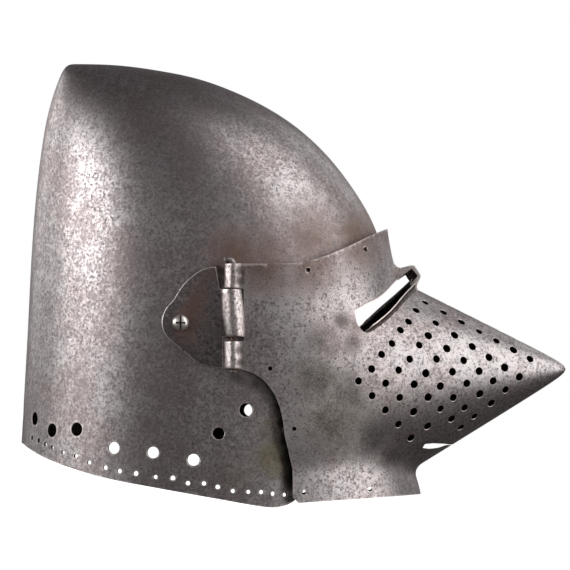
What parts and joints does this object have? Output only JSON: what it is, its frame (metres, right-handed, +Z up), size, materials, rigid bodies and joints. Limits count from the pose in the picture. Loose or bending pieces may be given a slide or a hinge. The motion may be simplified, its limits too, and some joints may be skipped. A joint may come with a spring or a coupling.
{
  "type": "pig-faced bascinet helmet",
  "caption": "Steel helmet with a blunt-pointed skull and a snouted, pierced visor on hinged temple plates with lift-out pins.",
  "frame": {"origin": "on the surface it stands on, under the centre of its box", "axes": "+X is the front, where the snout points, +Y is the wearer's left, +Z is up"},
  "size_m": [0.405, 0.2268, 0.2993],
  "materials": {
    "skull_steel": "dark grey-brown patinated steel, finely pitted",
    "visor_steel": "patinated steel with rust-brown tint and worn bright edges",
    "hinge_steel": "forged steel, worn bright on the knuckles",
    "pin_steel": "rusty drawn steel",
    "screw_steel": "smooth worn steel"
  },
  "bodies": {
    "skull": {"skull": "skull_steel", "right_screw": "screw_steel", "left_screw": "screw_steel"},
    "visor": {"visor": "visor_steel", "right_arm": "hinge_steel", "left_arm": "hinge_steel"},
    "right_pin": {"right_pin": "pin_steel"},
    "left_pin": {"left_pin": "pin_steel"}
  },
  "joints": [
    {"name": "visor_raise", "type": "hinge", "parent": "skull", "child": "visor", "pos_m": [-0.07979, 0, 0.12125], "axis": [0, -1, 0], "range_deg": [0, 24]},
    {"name": "right_pin_lift", "type": "slide", "parent": "visor", "child": "right_pin", "axis": [-0.1771, 0, 0.9842], "range_m": [0, 0.08]},
    {"name": "left_pin_lift", "type": "slide", "parent": "visor", "child": "left_pin", "axis": [-0.1771, 0, 0.9842], "range_m": [0, 0.08]}
  ]
}
